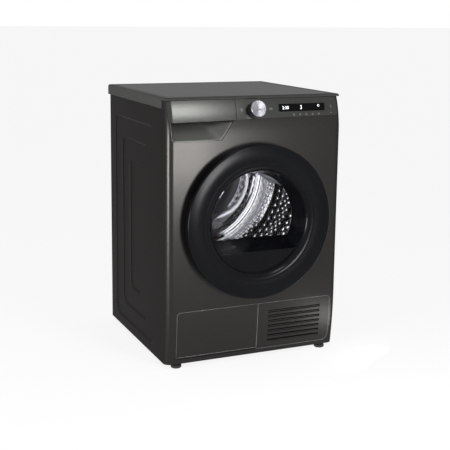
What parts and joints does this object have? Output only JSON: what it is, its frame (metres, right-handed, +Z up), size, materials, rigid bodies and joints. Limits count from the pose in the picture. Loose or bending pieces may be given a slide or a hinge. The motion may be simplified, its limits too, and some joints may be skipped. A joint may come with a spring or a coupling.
{
  "type": "clothes dryer",
  "caption": "Free-standing front-loading heat-pump clothes dryer with a round windowed door, turning drum, tank drawer, dial and kick panel.",
  "frame": {"origin": "on the floor under the centre of the machine's bounding box", "axes": "+X to the user's right, +Y from the front to the rear wall, +Z up"},
  "size_m": [0.598, 0.6301, 0.85],
  "materials": {
    "case_paint": "satin graphite enamel",
    "top_plastic": "satin graphite",
    "top_board": "laminate in graphite",
    "galvanised": "zinc coated",
    "front_plastic": "painted graphite",
    "band_plastic": "metallic graphite",
    "display_glass": "black glass",
    "dial_metal": "spun",
    "door_black": "satin black",
    "door_liner": "moulded grey",
    "window_glass": "clear",
    "rubber": "matte black",
    "roller_plastic": "moulded",
    "felt": "felt",
    "drum_steel": "polished stainless",
    "grey_plastic": "moulded grey",
    "base_plastic": "moulded",
    "motor_steel": "machined",
    "compressor_black": "black enamel",
    "fins": "plain",
    "copper": "drawn copper",
    "tank_plastic": "milky"
  },
  "bodies": {
    "cabinet": {"left_side_panel": "case_paint", "right_side_panel": "case_paint", "front_panel": "case_paint", "top_frame": "top_plastic", "top_plate": "top_board", "rear_panel": "galvanised", "rear_duct_cover": "galvanised", "top_rails": "galvanised", "hinge_bracket": "galvanised", "roller_axles": "galvanised", "grille_panel": "front_plastic", "control_panel": "band_plastic", "display_window": "display_glass", "door_seal": "rubber", "drive_belt": "rubber", "drum_felt_seals": "felt", "rear_bulkhead": "drum_steel", "front_bulkhead": "grey_plastic", "base_housing": "base_plastic", "base_cover": "base_plastic", "exchanger_cover": "base_plastic", "blower_housing": "base_plastic", "fan_shroud": "base_plastic", "condensate_pump": "base_plastic", "tank_shelf": "base_plastic", "door_catch": "base_plastic", "main_board": "base_plastic", "control_board": "base_plastic", "mains_inlet": "base_plastic", "motor_stator": "motor_steel", "compressor": "compressor_black", "heat_exchangers": "fins", "refrigerant_pipes": "copper"},
    "door": {"door_ring": "door_black", "door_back": "door_liner", "window_surround": "door_black", "window_glass": "window_glass", "hinge_arm": "galvanised", "door_latch": "door_liner"},
    "dial": {"program_dial": "dial_metal"},
    "drum": {"drum_shell": "drum_steel", "drum_lifters": "grey_plastic"},
    "front_left_roller": {"front_left_roller": "roller_plastic"},
    "front_right_roller": {"front_right_roller": "roller_plastic"},
    "rear_left_roller": {"rear_left_roller": "roller_plastic"},
    "rear_right_roller": {"rear_right_roller": "roller_plastic"},
    "drive": {"motor_rotor": "motor_steel", "blower_fan": "base_plastic"},
    "idler": {"idler_pulley": "roller_plastic"},
    "cooling_fan": {"cooling_fan": "base_plastic"},
    "drawer": {"drawer_front": "band_plastic", "water_tank": "tank_plastic"},
    "flap": {"access_flap": "front_plastic"},
    "left_lever": {"left_cover_lever": "base_plastic"},
    "right_lever": {"right_cover_lever": "base_plastic"},
    "filter": {"lint_filter": "grey_plastic"},
    "front_left_foot": {"front_left_foot": "rubber"},
    "front_right_foot": {"front_right_foot": "rubber"},
    "rear_left_foot": {"rear_left_foot": "rubber"},
    "rear_right_foot": {"rear_right_foot": "rubber"}
  },
  "joints": [
    {"name": "door_hinge", "type": "hinge", "parent": "cabinet", "child": "door", "pos_m": [0.231, -0.301, 0.459], "axis": [0, 0, 1], "range_deg": [0, 110]},
    {"name": "dial_turn", "type": "hinge", "parent": "cabinet", "child": "dial", "pos_m": [-0.007, -0.2649, 0.806], "axis": [0, -0.9659, 0.2588], "continuous": true},
    {"name": "drum_spin", "type": "hinge", "parent": "cabinet", "child": "drum", "pos_m": [0, 0.025, 0.525], "axis": [0, 1, 0], "continuous": true},
    {"name": "front_left_roller_spin", "type": "hinge", "parent": "cabinet", "child": "front_left_roller", "pos_m": [-0.15265, -0.175, 0.2606], "axis": [0, 1, 0], "continuous": true},
    {"name": "front_right_roller_spin", "type": "hinge", "parent": "cabinet", "child": "front_right_roller", "pos_m": [0.15265, -0.175, 0.2606], "axis": [0, 1, 0], "continuous": true},
    {"name": "rear_left_roller_spin", "type": "hinge", "parent": "cabinet", "child": "rear_left_roller", "pos_m": [-0.15265, 0.199, 0.2606], "axis": [0, 1, 0], "continuous": true},
    {"name": "rear_right_roller_spin", "type": "hinge", "parent": "cabinet", "child": "rear_right_roller", "pos_m": [0.15265, 0.199, 0.2606], "axis": [0, 1, 0], "continuous": true},
    {"name": "drive_spin", "type": "hinge", "parent": "cabinet", "child": "drive", "pos_m": [0.11, -0.013, 0.19], "axis": [0, 1, 0], "continuous": true},
    {"name": "idler_spin", "type": "hinge", "parent": "cabinet", "child": "idler", "pos_m": [0.052, -0.05, 0.19], "axis": [0, 1, 0], "continuous": true},
    {"name": "cooling_fan_spin", "type": "hinge", "parent": "cabinet", "child": "cooling_fan", "pos_m": [0.15, -0.213, 0.108], "axis": [0, 1, 0], "continuous": true},
    {"name": "tank_drawer_slide", "type": "slide", "parent": "cabinet", "child": "drawer", "axis": [0, -1, 0], "range_m": [0, 0.4]},
    {"name": "flap_hinge", "type": "hinge", "parent": "cabinet", "child": "flap", "pos_m": [-0.1265, -0.26104, 0.034], "axis": [1, 0, 0], "range_deg": [0, 90]},
    {"name": "left_lever_turn", "type": "hinge", "parent": "cabinet", "child": "left_lever", "pos_m": [-0.238, -0.242, 0.112], "axis": [0, 1, 0], "range_deg": [0, 90]},
    {"name": "right_lever_turn", "type": "hinge", "parent": "cabinet", "child": "right_lever", "pos_m": [-0.032, -0.242, 0.112], "axis": [0, -1, 0], "range_deg": [0, 90]},
    {"name": "filter_lift", "type": "slide", "parent": "cabinet", "child": "filter", "axis": [0, 0, 1], "range_m": [0, 0.1]},
    {"name": "front_left_foot_level", "type": "slide", "parent": "cabinet", "child": "front_left_foot", "axis": [0, 0, -1], "range_m": [0, 0.012]},
    {"name": "front_right_foot_level", "type": "slide", "parent": "cabinet", "child": "front_right_foot", "axis": [0, 0, -1], "range_m": [0, 0.012]},
    {"name": "rear_left_foot_level", "type": "slide", "parent": "cabinet", "child": "rear_left_foot", "axis": [0, 0, -1], "range_m": [0, 0.012]},
    {"name": "rear_right_foot_level", "type": "slide", "parent": "cabinet", "child": "rear_right_foot", "axis": [0, 0, -1], "range_m": [0, 0.012]}
  ],
  "couplings": [
    {"joint": "front_left_roller_spin", "follows": "drum_spin", "ratio": -8.2424},
    {"joint": "front_right_roller_spin", "follows": "drum_spin", "ratio": -8.2424},
    {"joint": "rear_left_roller_spin", "follows": "drum_spin", "ratio": -8.2424},
    {"joint": "rear_right_roller_spin", "follows": "drum_spin", "ratio": -8.2424},
    {"joint": "drive_spin", "follows": "drum_spin", "ratio": 27.2},
    {"joint": "idler_spin", "follows": "drum_spin", "ratio": 22.667}
  ]
}
